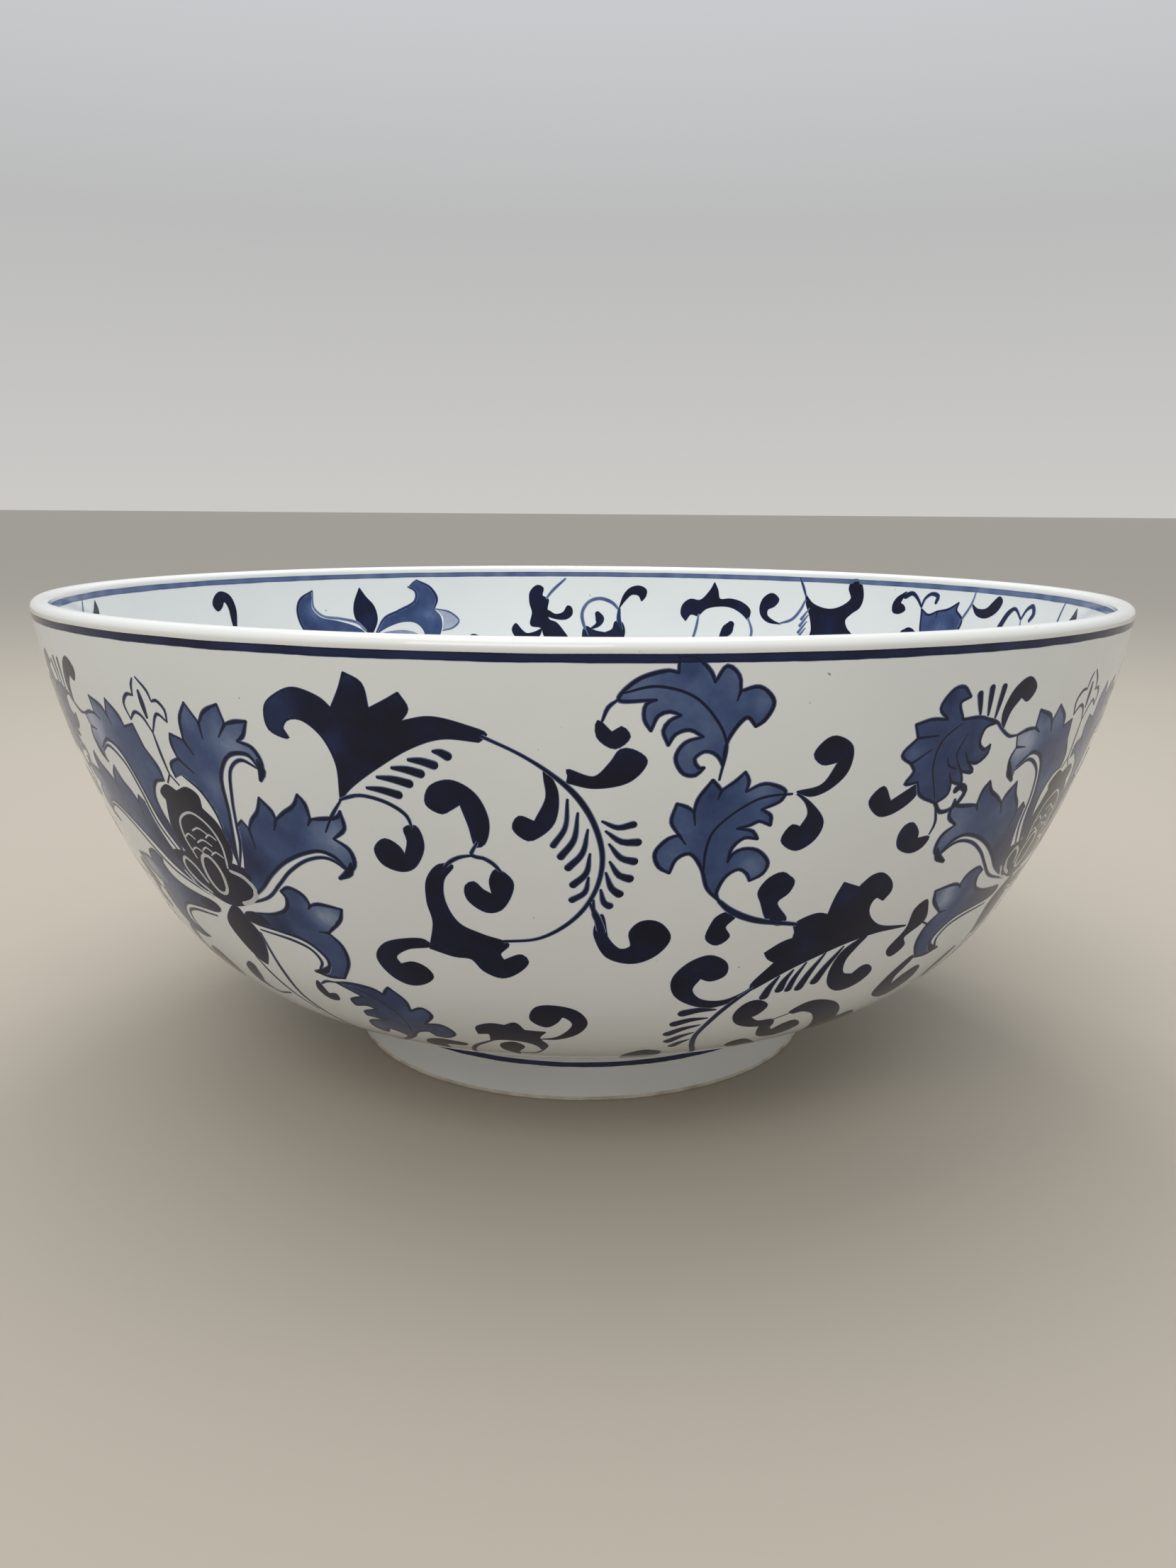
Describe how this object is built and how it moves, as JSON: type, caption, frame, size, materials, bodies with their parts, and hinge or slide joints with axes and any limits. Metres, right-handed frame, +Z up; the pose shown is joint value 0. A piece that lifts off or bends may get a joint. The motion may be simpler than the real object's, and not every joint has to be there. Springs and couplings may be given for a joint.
{
  "type": "serving bowl",
  "caption": "Wide, deep round porcelain serving bowl on a low foot ring, with a rounded lip and cobalt lines round rim and foot, for serving or display.",
  "frame": {"origin": "centre of the foot ring's resting face, on the bowl's round axis", "axes": "+Z up along the bowl's round axis, out of its mouth; X and Y across, with the painted pattern repeating four times round Z"},
  "size_m": [0.3999, 0.4, 0.173],
  "materials": {
    "white_glaze": "glossy clear glaze over faintly grey-white porcelain",
    "lip_glaze": "glossy, thicker glaze, slightly warmer white",
    "foot_glaze": "glossy clear glaze, plain white",
    "bare_clay": "matt, unglazed fired clay, a little stained",
    "band_cobalt": "hand-brushed underglaze cobalt, darker at both edges, glossy",
    "line_cobalt": "thin hand-brushed underglaze cobalt line, glossy"
  },
  "bodies": {
    "root": {"bowl_body": "white_glaze", "rim_lip": "lip_glaze", "foot_ring": "foot_glaze", "bare_foot_edge": "bare_clay", "outer_rim_band": "band_cobalt", "inner_rim_line": "line_cobalt", "foot_line": "line_cobalt"}
  },
  "joints": []
}
